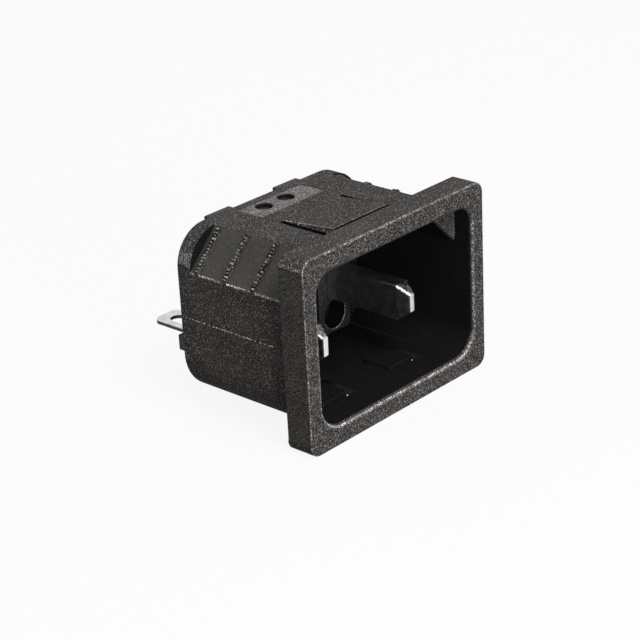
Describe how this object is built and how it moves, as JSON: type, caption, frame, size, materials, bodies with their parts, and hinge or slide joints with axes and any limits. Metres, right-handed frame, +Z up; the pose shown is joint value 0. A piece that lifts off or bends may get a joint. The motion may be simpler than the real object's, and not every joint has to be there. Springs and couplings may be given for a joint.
{
  "type": "iec panel inlet",
  "caption": "Black snap-in mains inlet for a panel cut-out: rectangular flange, keyed socket with upright flat blades, flexing snap tongues and rear solder tabs.",
  "frame": {"origin": "centre of the flange's rear face, where it seats on the panel", "axes": "+X to the right seen from the front, +Y through the panel to the rear, +Z up"},
  "size_m": [0.0286, 0.0276, 0.0216],
  "materials": {
    "housing_plastic": "black thermoplastic with a fine spark-eroded grain",
    "carrier_plastic": "black thermoplastic, smoother than the housing",
    "plated_brass": "bright nickel plating on brass"
  },
  "bodies": {
    "root": {"housing": "housing_plastic", "terminal_carrier": "carrier_plastic", "line_contact": "plated_brass", "neutral_contact": "plated_brass"}
  },
  "joints": []
}
